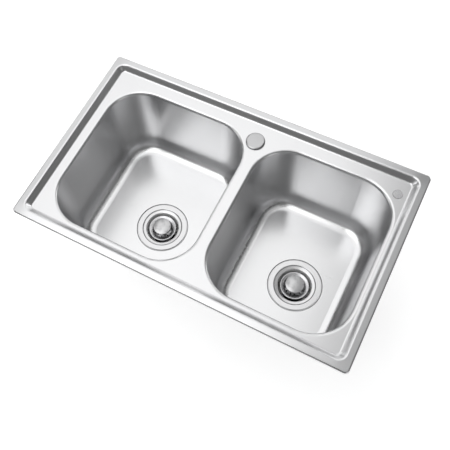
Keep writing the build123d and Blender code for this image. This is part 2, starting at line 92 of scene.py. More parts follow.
def open_group(name, takes, gives):
    """A new shader group with its named inputs and outputs."""
    group = bpy.data.node_groups.new(name, "ShaderNodeTree")
    for title, kind in takes:
        group.interface.new_socket(name=title, in_out="INPUT", socket_type=kind)
    for title, kind in gives:
        group.interface.new_socket(name=title, in_out="OUTPUT", socket_type=kind)
    start = group.nodes.new("NodeGroupInput")
    end = group.nodes.new("NodeGroupOutput")
    start.location = (-900, 0)
    end.location = (500, 0)
    return group, start, end


def add_noise(tree, vector, scale, detail=3.0, roughness=0.5):
    """A noise that reads its place from the given socket; its scale is a number or a socket."""
    made = tree.nodes.new("ShaderNodeTexNoise")
    if isinstance(scale, float):
        made.inputs["Scale"].default_value = scale
    else:
        tree.links.new(scale, made.inputs["Scale"])
    made.inputs["Detail"].default_value = detail
    made.inputs["Roughness"].default_value = roughness
    tree.links.new(vector, made.inputs["Vector"])
    return made


def add_math(tree, work, first, second=None, third=None):
    """Works out one value from one to three others, each a socket or a number."""
    made = tree.nodes.new("ShaderNodeMath")
    made.operation = work
    for slot, value in enumerate((first, second, third)):
        if value is None:
            continue
        if isinstance(value, (int, float)):
            made.inputs[slot].default_value = value
        else:
            tree.links.new(value, made.inputs[slot])
    return made.outputs["Value"]


def hold_to_unit(tree, value):
    """Keeps a value between 0 and 1."""
    value = add_math(tree, "MAXIMUM", value, 0.0)
    return add_math(tree, "MINIMUM", value, 1.0)


def add_tint(tree, factor, dark, light):
    """A colour that moves between two as the factor goes from 0 to 1."""
    made = tree.nodes.new("ShaderNodeMix")
    made.data_type = "RGBA"
    tree.links.new(factor, made.inputs["Factor"])
    for title, value in (("A", dark), ("B", light)):
        socket = [s for s in made.inputs if s.name == title and s.type == "RGBA"][0]
        if isinstance(value, tuple):
            socket.default_value = (*value, 1.0)
        else:
            tree.links.new(value, socket)
    return [s for s in made.outputs if s.type == "RGBA"][0]


# Belt grain: scratches that run along X where the piece is mapped so, over soft streaks and slow clouds.
grain, grain_in, grain_out = open_group(
    "belt_grain",
    [("Vector", "NodeSocketVector"), ("Roughness", "NodeSocketFloat"), ("Spread", "NodeSocketFloat"),
     ("Dark", "NodeSocketColor"), ("Light", "NodeSocketColor")],
    [("Color", "NodeSocketColor"), ("Roughness", "NodeSocketFloat"), ("Height", "NodeSocketFloat")])
scratches = add_noise(grain, grain_in.outputs["Vector"], scale=1500.0, detail=3.0, roughness=0.6)
streaks = add_noise(grain, grain_in.outputs["Vector"], scale=130.0, detail=3.0, roughness=0.5)
clouds = add_noise(grain, grain_in.outputs["Vector"], scale=16.0, detail=2.0, roughness=0.5)
streak_share = 0.35
cloud_share = 0.25
scratch_share = 0.40
worn = add_math(grain, "MULTIPLY", streaks.outputs["Fac"], streak_share)
worn = add_math(grain, "MULTIPLY_ADD", clouds.outputs["Fac"], cloud_share, worn)
worn = add_math(grain, "MULTIPLY_ADD", scratches.outputs["Fac"], scratch_share, worn)
spread = add_math(grain, "SUBTRACT", worn, 0.5)
rough = add_math(
    grain, "MULTIPLY_ADD", spread, grain_in.outputs["Spread"], grain_in.outputs["Roughness"])
tone = add_tint(grain, worn, grain_in.outputs["Dark"], grain_in.outputs["Light"])
grain.links.new(tone, grain_out.inputs["Color"])
grain.links.new(rough, grain_out.inputs["Roughness"])
grain.links.new(scratches.outputs["Fac"], grain_out.inputs["Height"])

# Handling marks: patches of dried water and finger grease, broken up by fine specks.
marks, marks_in, marks_out = open_group(
    "handling_marks",
    [("Vector", "NodeSocketVector"), ("Scale", "NodeSocketFloat"), ("Amount", "NodeSocketFloat")],
    [("Mask", "NodeSocketFloat")])
patches = add_noise(
    marks, marks_in.outputs["Vector"], scale=marks_in.outputs["Scale"], detail=4.0, roughness=0.6)
specks = add_noise(marks, marks_in.outputs["Vector"], scale=420.0, detail=2.0, roughness=0.5)
patch_start = 0.5
patch_contrast = 6.0
patch = add_math(marks, "SUBTRACT", patches.outputs["Fac"], patch_start)
patch = add_math(marks, "MULTIPLY", patch, patch_contrast)
patch = hold_to_unit(marks, patch)
patch = add_math(marks, "MULTIPLY", patch, specks.outputs["Fac"])
patch = add_math(marks, "MULTIPLY", patch, marks_in.outputs["Amount"])
marks.links.new(patch, marks_out.inputs["Mask"])


def add_split(tree, vector):
    """The three parts of a vector."""
    made = tree.nodes.new("ShaderNodeSeparateXYZ")
    tree.links.new(vector, made.inputs["Vector"])
    return made.outputs["X"], made.outputs["Y"], made.outputs["Z"]


satin, satin_tree, satin_skin, satin_place = new_finish(
    "satin_sheet", (0.66, 0.66, 0.665), metal=1.0, roughness=0.26)
satin_map = add_mapping(satin_tree, satin_place, scale=(0.04, 1.0, 1.0))
satin_grain = add_group(satin_tree, grain, Roughness=0.285, Spread=0.05,
                        Dark=(0.695, 0.697, 0.703, 1), Light=(0.735, 0.737, 0.743, 1))
satin_tree.links.new(satin_map.outputs["Vector"], satin_grain.inputs["Vector"])
satin_marks = add_group(satin_tree, marks, Scale=14.0, Amount=0.03)
satin_tree.links.new(satin_place.outputs["Object"], satin_marks.inputs["Vector"])

# The underside: what faces down, and below the deck what faces away from its own bowl's middle.
left_bowl_middle = -0.154
right_bowl_middle = 0.180
bowl_middle_y = -0.0085
between_bowls = 0.020
deck_foot = -0.0095
sheet_face = satin_tree.nodes.new("ShaderNodeNewGeometry")
lean_x, lean_y, lean_z = add_split(satin_tree, sheet_face.outputs["Normal"])
at_x, at_y, at_z = add_split(satin_tree, satin_place.outputs["Object"])
in_right = add_math(satin_tree, "GREATER_THAN", at_x, between_bowls)
middle_apart = right_bowl_middle - left_bowl_middle
middle_x = add_math(satin_tree, "MULTIPLY_ADD", in_right, middle_apart, left_bowl_middle)
inward_x = add_math(satin_tree, "SUBTRACT", middle_x, at_x)
inward_y = add_math(satin_tree, "SUBTRACT", bowl_middle_y, at_y)
inward = add_math(satin_tree, "MULTIPLY", inward_y, lean_y)
inward = add_math(satin_tree, "MULTIPLY_ADD", inward_x, lean_x, inward)
outer = add_math(satin_tree, "LESS_THAN", inward, 0.0)
below = add_math(satin_tree, "LESS_THAN", at_z, deck_foot)
outer = add_math(satin_tree, "MULTIPLY", outer, below)
down_lean = -0.3
up_lean = 0.35
facing_down = add_math(satin_tree, "LESS_THAN", lean_z, down_lean)
underside = add_math(satin_tree, "MAXIMUM", outer, facing_down)
not_up = add_math(satin_tree, "LESS_THAN", lean_z, up_lean)
underside = add_math(satin_tree, "MULTIPLY", underside, not_up)


def past_outline(tree, vector, half_length, half_width, corner):
    """How far a point lies outside a rounded rectangle, seen from above; less than 0 inside."""
    across, along = add_split(tree, vector)[:2]
    past_x = add_math(tree, "SUBTRACT", add_math(tree, "ABSOLUTE", across), half_length - corner)
    past_y = add_math(tree, "SUBTRACT", add_math(tree, "ABSOLUTE", along), half_width - corner)
    inner = add_math(tree, "MINIMUM", add_math(tree, "MAXIMUM", past_x, past_y), 0.0)
    round_x = add_math(tree, "MAXIMUM", past_x, 0.0)
    round_y = add_math(tree, "MAXIMUM", past_y, 0.0)
    reach = add_math(tree, "MULTIPLY", round_x, round_x)
    reach = add_math(tree, "MULTIPLY_ADD", round_y, round_y, reach)
    reach = add_math(tree, "SQRT", reach)
    reach = add_math(tree, "ADD", reach, inner)
    return add_math(tree, "SUBTRACT", reach, corner)


# The bowls' floors, wiped a little brighter than the walls, from where their bends level out.
wiped_head = -0.16
wiped_lean = 0.75
wiped = add_math(satin_tree, "SUBTRACT", lean_z, wiped_lean)
wiped = add_math(satin_tree, "DIVIDE", wiped, 1.0 - wiped_lean)
wiped = add_math(satin_tree, "MAXIMUM", wiped, 0.0)
in_bowl = add_math(satin_tree, "LESS_THAN", at_z, wiped_head)
wiped = add_math(satin_tree, "MULTIPLY", wiped, in_bowl)

# The rubbed edge: the last 2 mm of the rim and the top of its lip, rubbed smoother, with its colour
# darkened as painted shade.
lip_x = 0.360
lip_y = 0.215
rim_corner = 0.009
rub_width = 0.002
from_lip = past_outline(satin_tree, satin_place.outputs["Object"], lip_x, lip_y, rim_corner)
rubbed_edge_and_painted_shade = add_math(satin_tree, "ADD", from_lip, rub_width)
rubbed_edge_and_painted_shade = add_math(satin_tree, "DIVIDE", rubbed_edge_and_painted_shade, rub_width)
rubbed_edge_and_painted_shade = hold_to_unit(satin_tree, rubbed_edge_and_painted_shade)

rubbed_shine = 0.05
wiped_shine = 0.03
mill_dullness = 0.16
# Painted shade: along the rim's outer edge the colour is darkened to a deeper grey.
seen_tone = add_tint(satin_tree, rubbed_edge_and_painted_shade, satin_grain.outputs["Color"], (0.60, 0.60, 0.605))
mill_tone = add_tint(satin_tree, satin_marks.outputs["Mask"], (0.50, 0.505, 0.515), (0.40, 0.405, 0.41))
sheet_tone = add_tint(satin_tree, underside, seen_tone, mill_tone)
seen_rough = add_math(satin_tree, "ADD", satin_grain.outputs["Roughness"], satin_marks.outputs["Mask"])
seen_rough = add_math(satin_tree, "MULTIPLY_ADD", rubbed_edge_and_painted_shade, -rubbed_shine, seen_rough)
seen_rough = add_math(satin_tree, "MULTIPLY_ADD", wiped, -wiped_shine, seen_rough)
sheet_rough = add_math(satin_tree, "MULTIPLY_ADD", underside, mill_dullness, seen_rough)
satin_tree.links.new(sheet_tone, satin_skin.inputs["Base Color"])
satin_tree.links.new(sheet_rough, satin_skin.inputs["Roughness"])

# The rim falls away a few degrees to its edge, which the press leaves as it pulls the sheet over. The
# step is a shallow S, steepest halfway down.
rim_flat = 0.015
rim_fall = 0.085
step_corner = 0.019
step_run = 0.011
step_sway = 0.0002
grain_depth = 0.000003
past_step = past_outline(
    satin_tree, satin_place.outputs["Object"], lip_x - rim_flat, lip_y - rim_flat, step_corner)
on_rim = add_math(satin_tree, "MAXIMUM", past_step, 0.0)
fall = add_math(satin_tree, "MULTIPLY", on_rim, -rim_fall)
down_step = add_math(satin_tree, "DIVIDE", past_step, -step_run)
down_step = hold_to_unit(satin_tree, down_step)
sway = add_math(satin_tree, "MULTIPLY", down_step, 2 * pi)
sway = add_math(satin_tree, "SINE", sway)
fall = add_math(satin_tree, "MULTIPLY_ADD", sway, step_sway, fall)
relief = add_math(satin_tree, "MULTIPLY_ADD", satin_grain.outputs["Height"], grain_depth, fall)
add_bump(satin_tree, relief, satin_skin, strength=1.0, distance=1.0)
nodes["sink_shell"].material_slots[0].material = satin


# ---- sound pads --------------------------------------------------------------------------------------
# Heavy rubber damping pads, 3 mm thick, glued under each bowl so that water and cutlery don't ring.
# They come off a calender roll, which leaves rows of small bosses and a dusty bloom.

# Rubber skin: fine pits under a pale bloom that comes and goes.
rubber, rubber_in, rubber_out = open_group(
    "rubber_skin",
    [("Vector", "NodeSocketVector"), ("Tone", "NodeSocketColor"), ("Bloom", "NodeSocketColor")],
    [("Color", "NodeSocketColor"), ("Roughness", "NodeSocketFloat"), ("Height", "NodeSocketFloat")])
pits = add_noise(rubber, rubber_in.outputs["Vector"], scale=1300.0, detail=4.0, roughness=0.6)
bloom = add_noise(rubber, rubber_in.outputs["Vector"], scale=45.0, detail=4.0, roughness=0.6)
bloom_start = 0.42
bloom_contrast = 3.0
clean_rough = 0.5
bloom_rough = 0.3
dust = add_math(rubber, "SUBTRACT", bloom.outputs["Fac"], bloom_start)
dust = add_math(rubber, "MULTIPLY", dust, bloom_contrast)
dust = hold_to_unit(rubber, dust)
dust = add_math(rubber, "MULTIPLY", dust, pits.outputs["Fac"])
rubber_tone = add_tint(rubber, dust, rubber_in.outputs["Tone"], rubber_in.outputs["Bloom"])
rubber_rough = add_math(rubber, "MULTIPLY_ADD", dust, bloom_rough, clean_rough)
rubber.links.new(rubber_tone, rubber_out.inputs["Color"])
rubber.links.new(rubber_rough, rubber_out.inputs["Roughness"])
rubber.links.new(pits.outputs["Fac"], rubber_out.inputs["Height"])

damping, damping_tree, damping_skin, damping_place = new_finish(
    "damping_rubber", (0.09, 0.09, 0.095), metal=0.0, roughness=0.7)
damping_rubber = add_group(
    damping_tree, rubber, Tone=(0.075, 0.075, 0.08, 1), Bloom=(0.16, 0.16, 0.165, 1))
damping_tree.links.new(damping_place.outputs["Object"], damping_rubber.inputs["Vector"])
bosses = damping_tree.nodes.new("ShaderNodeTexVoronoi")
bosses.feature = "F1"
bosses.inputs["Scale"].default_value = 240.0
bosses.inputs["Randomness"].default_value = 0.0
damping_tree.links.new(damping_place.outputs["Object"], bosses.inputs["Vector"])
boss_reach = 0.36
pit_share = 0.25
boss = add_math(damping_tree, "LESS_THAN", bosses.outputs["Distance"], boss_reach)
relief = add_math(damping_tree, "MULTIPLY_ADD", damping_rubber.outputs["Height"], pit_share, boss)
damping_tree.links.new(damping_rubber.outputs["Color"], damping_skin.inputs["Base Color"])
damping_tree.links.new(damping_rubber.outputs["Roughness"], damping_skin.inputs["Roughness"])
add_bump(damping_tree, relief, damping_skin, strength=0.5, distance=0.0004)
for side in ("left", "right"):
    nodes[side + "_sound_pad"].material_slots[0].material = damping


# ---- rim seal ----------------------------------------------------------------------------------------
# A strip of closed-cell foam, cut from sheet and stuck inside the lip, which the clips press against the
# worktop. Its cut faces show open cells.

foam, foam_tree, foam_skin, foam_place = new_finish(
    "grey_foam", (0.22, 0.22, 0.23), metal=0.0, roughness=0.9)
cells = foam_tree.nodes.new("ShaderNodeTexVoronoi")
cells.feature = "F1"
cells.inputs["Scale"].default_value = 1100.0
foam_tree.links.new(foam_place.outputs["Object"], cells.inputs["Vector"])
dirt = add_noise(foam_tree, foam_place.outputs["Object"], scale=30.0, detail=4.0, roughness=0.6)
cell_tone = add_tint(foam_tree, cells.outputs["Distance"], (0.15, 0.15, 0.155), (0.27, 0.27, 0.28))
foam_tone = add_tint(foam_tree, dirt.outputs["Fac"], cell_tone, (0.22, 0.22, 0.225))
clean_foam_rough = 0.80
dirt_rough = 0.15
foam_rough = add_math(
    foam_tree, "MULTIPLY_ADD", dirt.outputs["Fac"], dirt_rough, clean_foam_rough)
foam_tree.links.new(foam_tone, foam_skin.inputs["Base Color"])
foam_tree.links.new(foam_rough, foam_skin.inputs["Roughness"])
add_bump(foam_tree, cells.outputs["Distance"], foam_skin, strength=0.6, distance=0.0005)
nodes["rim_seal"].material_slots[0].material = foam


# ---- worktop clips -----------------------------------------------------------------------------------
# Eight clips hold the sink down: a stainless lug spot welded under the step, a zinc-plated arm hooked
# through it, and a screw that pulls the arm up against the worktop. Lugs are left as the mill rolled
# them, and the plating has the cloudy, slightly blue look of passivated zinc.

mill, mill_tree, mill_skin, mill_place = new_finish(
    "mill_steel", (0.58, 0.58, 0.59), metal=1.0, roughness=0.4)
mill_map = add_mapping(mill_tree, mill_place, scale=(1.0, 1.0, 0.08))
mill_grain = add_group(mill_tree, grain, Roughness=0.40, Spread=0.20,
                       Dark=(0.50, 0.505, 0.515, 1), Light=(0.62, 0.625, 0.635, 1))
mill_tree.links.new(mill_map.outputs["Vector"], mill_grain.inputs["Vector"])
mill_tree.links.new(mill_grain.outputs["Color"], mill_skin.inputs["Base Color"])
mill_tree.links.new(mill_grain.outputs["Roughness"], mill_skin.inputs["Roughness"])
add_bump(mill_tree, mill_grain.outputs["Height"], mill_skin, strength=0.15, distance=0.0002)
nodes["clip_lugs"].material_slots[0].material = mill

# Thread turns: crests and roots one pitch apart between two heights, for threads that run along Z.
turns, turns_in, turns_out = open_group(
    "thread_turns",
    [("Vector", "NodeSocketVector"), ("Pitch", "NodeSocketFloat"), ("Foot", "NodeSocketFloat"),
     ("Head", "NodeSocketFloat")],
    [("Height", "NodeSocketFloat")])
along_z = add_split(turns, turns_in.outputs["Vector"])[2]
turn = add_math(turns, "DIVIDE", along_z, turns_in.outputs["Pitch"])
crest = add_math(turns, "PINGPONG", turn, 0.5)
crest = add_math(turns, "MULTIPLY", crest, 2.0)
over_foot = add_math(turns, "GREATER_THAN", along_z, turns_in.outputs["Foot"])
under_head = add_math(turns, "LESS_THAN", along_z, turns_in.outputs["Head"])
threaded = add_math(turns, "MULTIPLY", over_foot, under_head)
crest = add_math(turns, "MULTIPLY", crest, threaded)
turns.links.new(crest, turns_out.inputs["Height"])


zinc_shine = 0.24
fleck_rough = 0.22
fleck_depth = 0.08


def zinc_finish(name, thread_foot, thread_head):
    """Passivated zinc plating, with a fine thread between two heights."""
    made, tree, skin, place = new_finish(name, (0.6, 0.61, 0.63), metal=1.0, roughness=0.35)
    clouded = add_noise(tree, place.outputs["Object"], scale=160.0, detail=4.0, roughness=0.6)
    flecks = add_noise(tree, place.outputs["Object"], scale=1400.0, detail=2.0, roughness=0.5)
    zinc_tone = add_tint(tree, clouded.outputs["Fac"], (0.48, 0.50, 0.53), (0.68, 0.68, 0.66))
    zinc_rough = add_math(tree, "MULTIPLY_ADD", flecks.outputs["Fac"], fleck_rough, zinc_shine)
    thread = add_group(tree, turns, Pitch=0.0008, Foot=thread_foot, Head=thread_head)
    tree.links.new(place.outputs["Object"], thread.inputs["Vector"])
    height = add_math(
        tree, "MULTIPLY_ADD", flecks.outputs["Fac"], fleck_depth, thread.outputs["Height"])
    tree.links.new(zinc_tone, skin.inputs["Base Color"])
    tree.links.new(zinc_rough, skin.inputs["Roughness"])
    add_bump(tree, height, skin, strength=0.8, distance=0.0004)
    return made


arm_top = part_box("clip_arms")[1].z
screw_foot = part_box("clip_screws")[0].z
screw_head_top = screw_foot + 0.0025
over_piece = 1.0   # a thread that starts here misses the arms
nodes["clip_arms"].material_slots[0].material = zinc_finish("zinc_arm", over_piece, over_piece)
nodes["clip_screws"].material_slots[0].material = zinc_finish("zinc_screw", screw_head_top, arm_top)


# ---- strainer bodies and their gaskets ---------------------------------------------------------------
# Flange, cup and outlet are spun from 1 mm stainless and polished on the lathe, so fine rings run round
# each drain's axis, and the cup's inside is left dull. The cup and the outlet carry rolled threads. A
# black rubber ring lies under the flange and shows as a dark line round it.

# Lathe rings: lines round the Z axis of a piece that is mapped to its centre, over slow clouds.
rings, rings_in, rings_out = open_group(
    "lathe_rings",
    [("Vector", "NodeSocketVector"), ("Roughness", "NodeSocketFloat"), ("Spread", "NodeSocketFloat"),
     ("Dark", "NodeSocketColor"), ("Light", "NodeSocketColor")],
    [("Color", "NodeSocketColor"), ("Roughness", "NodeSocketFloat"), ("Height", "NodeSocketFloat"),
     ("Reach", "NodeSocketFloat")])
flat_part = rings.nodes.new("ShaderNodeVectorMath")
flat_part.operation = "MULTIPLY"
flat_part.inputs[1].default_value = (1.0, 1.0, 0.0)
rings.links.new(rings_in.outputs["Vector"], flat_part.inputs[0])
reach = rings.nodes.new("ShaderNodeVectorMath")
reach.operation = "LENGTH"
rings.links.new(flat_part.outputs["Vector"], reach.inputs[0])
ring_z = add_split(rings, rings_in.outputs["Vector"])[2]
ring_place = rings.nodes.new("ShaderNodeCombineXYZ")
rings.links.new(reach.outputs["Value"], ring_place.inputs["X"])
rings.links.new(ring_z, ring_place.inputs["Y"])
lines = add_noise(rings, ring_place.outputs["Vector"], scale=1100.0, detail=2.0, roughness=0.6)
mottle = add_noise(rings, rings_in.outputs["Vector"], scale=70.0, detail=3.0, roughness=0.55)
line_share = 0.6
turned = add_math(rings, "MULTIPLY", lines.outputs["Fac"], line_share)
turned = add_math(rings, "MULTIPLY_ADD", mottle.outputs["Fac"], 1.0 - line_share, turned)
ring_spread = add_math(rings, "SUBTRACT", turned, 0.5)
ring_rough = add_math(
    rings, "MULTIPLY_ADD", ring_spread, rings_in.outputs["Spread"], rings_in.outputs["Roughness"])
ring_tone = add_tint(rings, turned, rings_in.outputs["Dark"], rings_in.outputs["Light"])
rings.links.new(ring_tone, rings_out.inputs["Color"])
rings.links.new(ring_rough, rings_out.inputs["Roughness"])
rings.links.new(lines.outputs["Fac"], rings_out.inputs["Height"])
rings.links.new(reach.outputs["Value"], rings_out.inputs["Reach"])


def middle_of(node):
    """The middle of a node's box, seen from above."""
    low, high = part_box(node)
    return (low.x + high.x) / 2, (low.y + high.y) / 2


def lathe_finish(name, centre, dark, light, roughness, spread, relief):
    """Steel turned or polished round an upright axis; returns the parts that a piece can add to."""
    made, tree, skin, place = new_finish(name, light, metal=1.0, roughness=roughness)
    centred = add_mapping(tree, place, location=(-centre[0], -centre[1], 0.0))
    lathe = add_group(
        tree, rings, Roughness=roughness, Spread=spread, Dark=(*dark, 1), Light=(*light, 1))
    tree.links.new(centred.outputs["Vector"], lathe.inputs["Vector"])
    tree.links.new(lathe.outputs["Color"], skin.inputs["Base Color"])
    tree.links.new(lathe.outputs["Roughness"], skin.inputs["Roughness"])
    bump = add_bump(tree, lathe.outputs["Height"], skin, strength=relief, distance=0.0001)
    return made, tree, skin, centred, lathe, bump


def rubber_finish(name, tone, bloom_tone):
    """Moulded rubber with its bloom."""
    made, tree, skin, place = new_finish(name, tone, metal=0.0, roughness=0.6)
    moulded = add_group(tree, rubber, Tone=(*tone, 1), Bloom=(*bloom_tone, 1))
    tree.links.new(place.outputs["Object"], moulded.inputs["Vector"])
    tree.links.new(moulded.outputs["Color"], skin.inputs["Base Color"])
    tree.links.new(moulded.outputs["Roughness"], skin.inputs["Roughness"])
    add_bump(tree, moulded.outputs["Height"], skin, strength=0.3, distance=0.0002)
    return made


cup_thread_head = -0.2125
cup_thread_foot = -0.2425
outlet_thread_head = -0.258
outlet_thread_foot = -0.270
cup_mouth = -0.2085
cup_dullness = 0.65
ring_depth = 0.02
thread_strength = 0.7
thread_depth = 0.0006
black_ring = rubber_finish("black_rubber", (0.022, 0.022, 0.023), (0.07, 0.07, 0.072))
for side in ("left", "right"):
    drain = middle_of(side + "_strainer_body")
    made, tree, skin, centred, lathe, bump = lathe_finish(
        side + "_strainer_steel", drain, dark=(0.58, 0.58, 0.585), light=(0.72, 0.72, 0.725),
        roughness=0.24, spread=0.16, relief=0.12)
    cup_thread = add_group(tree, turns, Pitch=0.003, Foot=cup_thread_foot, Head=cup_thread_head)
    outlet_thread = add_group(
        tree, turns, Pitch=0.0022, Foot=outlet_thread_foot, Head=outlet_thread_head)
    tree.links.new(centred.outputs["Vector"], cup_thread.inputs["Vector"])
    tree.links.new(centred.outputs["Vector"], outlet_thread.inputs["Vector"])
    thread = add_math(tree, "ADD", cup_thread.outputs["Height"], outlet_thread.outputs["Height"])
    face = tree.nodes.new("ShaderNodeNewGeometry")
    face_x, face_y = add_split(tree, face.outputs["Normal"])[:2]
    from_x, from_y, from_z = add_split(tree, centred.outputs["Vector"])
    facing = add_math(tree, "MULTIPLY", from_x, face_x)
    facing = add_math(tree, "MULTIPLY_ADD", from_y, face_y, facing)
    facing = add_math(tree, "GREATER_THAN", facing, 0.0)
    thread = add_math(tree, "MULTIPLY", thread, facing)
    height = add_math(tree, "MULTIPLY_ADD", lathe.outputs["Height"], ring_depth, thread)
    tree.links.new(height, bump.inputs["Height"])
    inside = add_math(tree, "SUBTRACT", 1.0, facing)
    sunk = add_math(tree, "LESS_THAN", from_z, cup_mouth)
    sunk = add_math(tree, "MULTIPLY", sunk, inside)
    cup_tone = add_tint(tree, sunk, lathe.outputs["Color"], (0.92, 0.92, 0.92))
    cup_rough = add_math(tree, "MULTIPLY_ADD", sunk, cup_dullness, lathe.outputs["Roughness"])
    tree.links.new(cup_tone, skin.inputs["Base Color"])
    tree.links.new(cup_rough, skin.inputs["Roughness"])
    bump.inputs["Strength"].default_value = thread_strength
    bump.inputs["Distance"].default_value = thread_depth
    nodes[side + "_strainer_body"].material_slots[0].material = made
    nodes[side + "_flange_gasket"].material_slots[0].material = black_ring


# ---- gaskets and locknuts under the bowls ------------------------------------------------------------
# Below the floor a second rubber gasket and a pressed fibre ring let the big locknut turn without
# dragging. The nut is moulded in dark grey plastic with twelve ribs for the fitter's hand.

fibre, fibre_tree, fibre_skin, fibre_place = new_finish(
    "grey_fibre", (0.42, 0.38, 0.32), metal=0.0, roughness=0.85)
strands = add_noise(fibre_tree, fibre_place.outputs["Object"], scale=900.0, detail=5.0, roughness=0.7)
strands.inputs["Distortion"].default_value = 1.5
stain = add_noise(fibre_tree, fibre_place.outputs["Object"], scale=60.0, detail=3.0, roughness=0.5)
strand_tone = add_tint(fibre_tree, strands.outputs["Fac"], (0.32, 0.29, 0.24), (0.52, 0.48, 0.41))
fibre_tone = add_tint(fibre_tree, stain.outputs["Fac"], strand_tone, (0.40, 0.36, 0.30))
pressed_rough = 0.72
strand_rough = 0.20
fibre_rough = add_math(
    fibre_tree, "MULTIPLY_ADD", strands.outputs["Fac"], strand_rough, pressed_rough)
fibre_tree.links.new(fibre_tone, fibre_skin.inputs["Base Color"])
fibre_tree.links.new(fibre_rough, fibre_skin.inputs["Roughness"])
add_bump(fibre_tree, strands.outputs["Fac"], fibre_skin, strength=0.4, distance=0.0003)

# Moulded skin: the fine texture of a spark-eroded mould, with slow flow marks.
moulding, moulding_in, moulding_out = open_group(
    "moulded_skin",
    [("Vector", "NodeSocketVector"), ("Roughness", "NodeSocketFloat"), ("Tone", "NodeSocketColor"),
     ("Flow", "NodeSocketColor")],
    [("Color", "NodeSocketColor"), ("Roughness", "NodeSocketFloat"), ("Height", "NodeSocketFloat")])
eroded = add_noise(moulding, moulding_in.outputs["Vector"], scale=2000.0, detail=2.0, roughness=0.5)
flow = add_noise(moulding, moulding_in.outputs["Vector"], scale=38.0, detail=3.0, roughness=0.5)
flow.inputs["Distortion"].default_value = 1.2
mould_tone = add_tint(
    moulding, flow.outputs["Fac"], moulding_in.outputs["Tone"], moulding_in.outputs["Flow"])
eroded_rough = 0.12
flow_rough = 0.10
mould_rough = add_math(
    moulding, "MULTIPLY_ADD", eroded.outputs["Fac"], eroded_rough, moulding_in.outputs["Roughness"])
mould_rough = add_math(moulding, "MULTIPLY_ADD", flow.outputs["Fac"], flow_rough, mould_rough)
moulding.links.new(mould_tone, moulding_out.inputs["Color"])
moulding.links.new(mould_rough, moulding_out.inputs["Roughness"])
moulding.links.new(eroded.outputs["Fac"], moulding_out.inputs["Height"])


def plastic_finish(name, tone, flow_tone, roughness):
    """Moulded plastic with its flow marks."""
    made, tree, skin, place = new_finish(name, tone, metal=0.0, roughness=roughness)
    moulded = add_group(tree, moulding, Roughness=roughness, Tone=(*tone, 1), Flow=(*flow_tone, 1))
    tree.links.new(place.outputs["Object"], moulded.inputs["Vector"])
    tree.links.new(moulded.outputs["Color"], skin.inputs["Base Color"])
    tree.links.new(moulded.outputs["Roughness"], skin.inputs["Roughness"])
    add_bump(tree, moulded.outputs["Height"], skin, strength=0.2, distance=0.0002)
    return made


nut_plastic = plastic_finish(
    "grey_plastic", (0.19, 0.19, 0.20), (0.235, 0.235, 0.245), roughness=0.38)
for side in ("left", "right"):
    nodes[side + "_under_gasket"].material_slots[0].material = black_ring
    nodes[side + "_friction_ring"].material_slots[0].material = fibre
    nodes[side + "_locknut"].material_slots[0].material = nut_plastic


# ---- tailpieces --------------------------------------------------------------------------------------
# White plastic outlet pipe that the slip nut clamps to the cup, with a soft washer between them. All
# three are injection moulded, the washer in a softer, duller grade.

pipe_plastic = plastic_finish(
    "white_plastic", (0.80, 0.80, 0.785), (0.86, 0.86, 0.85), roughness=0.26)
washer_plastic = plastic_finish(
    "white_washer", (0.74, 0.74, 0.72), (0.80, 0.80, 0.78), roughness=0.45)
for side in ("left", "right"):
    nodes[side + "_tailpiece"].material_slots[0].material = pipe_plastic
    nodes[side + "_slip_nut"].material_slots[0].material = pipe_plastic
    nodes[side + "_tail_washer"].material_slots[0].material = washer_plastic


# ---- baskets -----------------------------------------------------------------------------------------
# Pressed and perforated strainer baskets that lift out by their knobs. The steel is thinner than the
# cup's and a little darker between its holes, where water dries.

dried_rise = 0.3
for side in ("left", "right"):
    drain = middle_of(side + "_strainer_body")
    made, tree, skin, centred, lathe, bump = lathe_finish(
        side + "_basket_steel", drain, dark=(0.50, 0.50, 0.51), light=(0.66, 0.66, 0.67),
        roughness=0.26, spread=0.16, relief=0.12)
    dried = add_group(tree, marks, Scale=90.0, Amount=0.5)
    tree.links.new(centred.outputs["Vector"], dried.inputs["Vector"])
    dried_tone = add_tint(tree, dried.outputs["Mask"], lathe.outputs["Color"], (0.42, 0.42, 0.42))
    dried_rough = add_math(
        tree, "MULTIPLY_ADD", dried.outputs["Mask"], dried_rise, lathe.outputs["Roughness"])
    tree.links.new(dried_tone, skin.inputs["Base Color"])
    tree.links.new(dried_rough, skin.inputs["Roughness"])
    nodes[side + "_basket"].material_slots[0].material = made


# ---- basket knobs ------------------------------------------------------------------------------------
# Broad knobs turned from stainless bar, polished and then fingered dull in patches. The stem carries the
# stopper and ends in a thread for the nut.

grease_rise = 0.35
for side in ("left", "right"):
    drain = middle_of(side + "_basket_knob")
    made, tree, skin, centred, lathe, bump = lathe_finish(
        side + "_knob_steel", drain, dark=(0.50, 0.50, 0.505), light=(0.64, 0.64, 0.645),
        roughness=0.34, spread=0.14, relief=0.14)
    fingered = add_group(tree, marks, Scale=75.0, Amount=0.9)
    tree.links.new(centred.outputs["Vector"], fingered.inputs["Vector"])
    knob_rough = add_math(
        tree, "MULTIPLY_ADD", fingered.outputs["Mask"], grease_rise, lathe.outputs["Roughness"])
    knob_tone = add_tint(tree, fingered.outputs["Mask"], lathe.outputs["Color"], (0.30, 0.30, 0.305))
    tree.links.new(knob_tone, skin.inputs["Base Color"])
    tree.links.new(knob_rough, skin.inputs["Roughness"])
    nodes[side + "_basket_knob"].material_slots[0].material = made


# ---- stoppers and basket nuts ------------------------------------------------------------------------
# The rubber stopper closes the outlet when the knob is pushed down; a bright plated nut holds it.

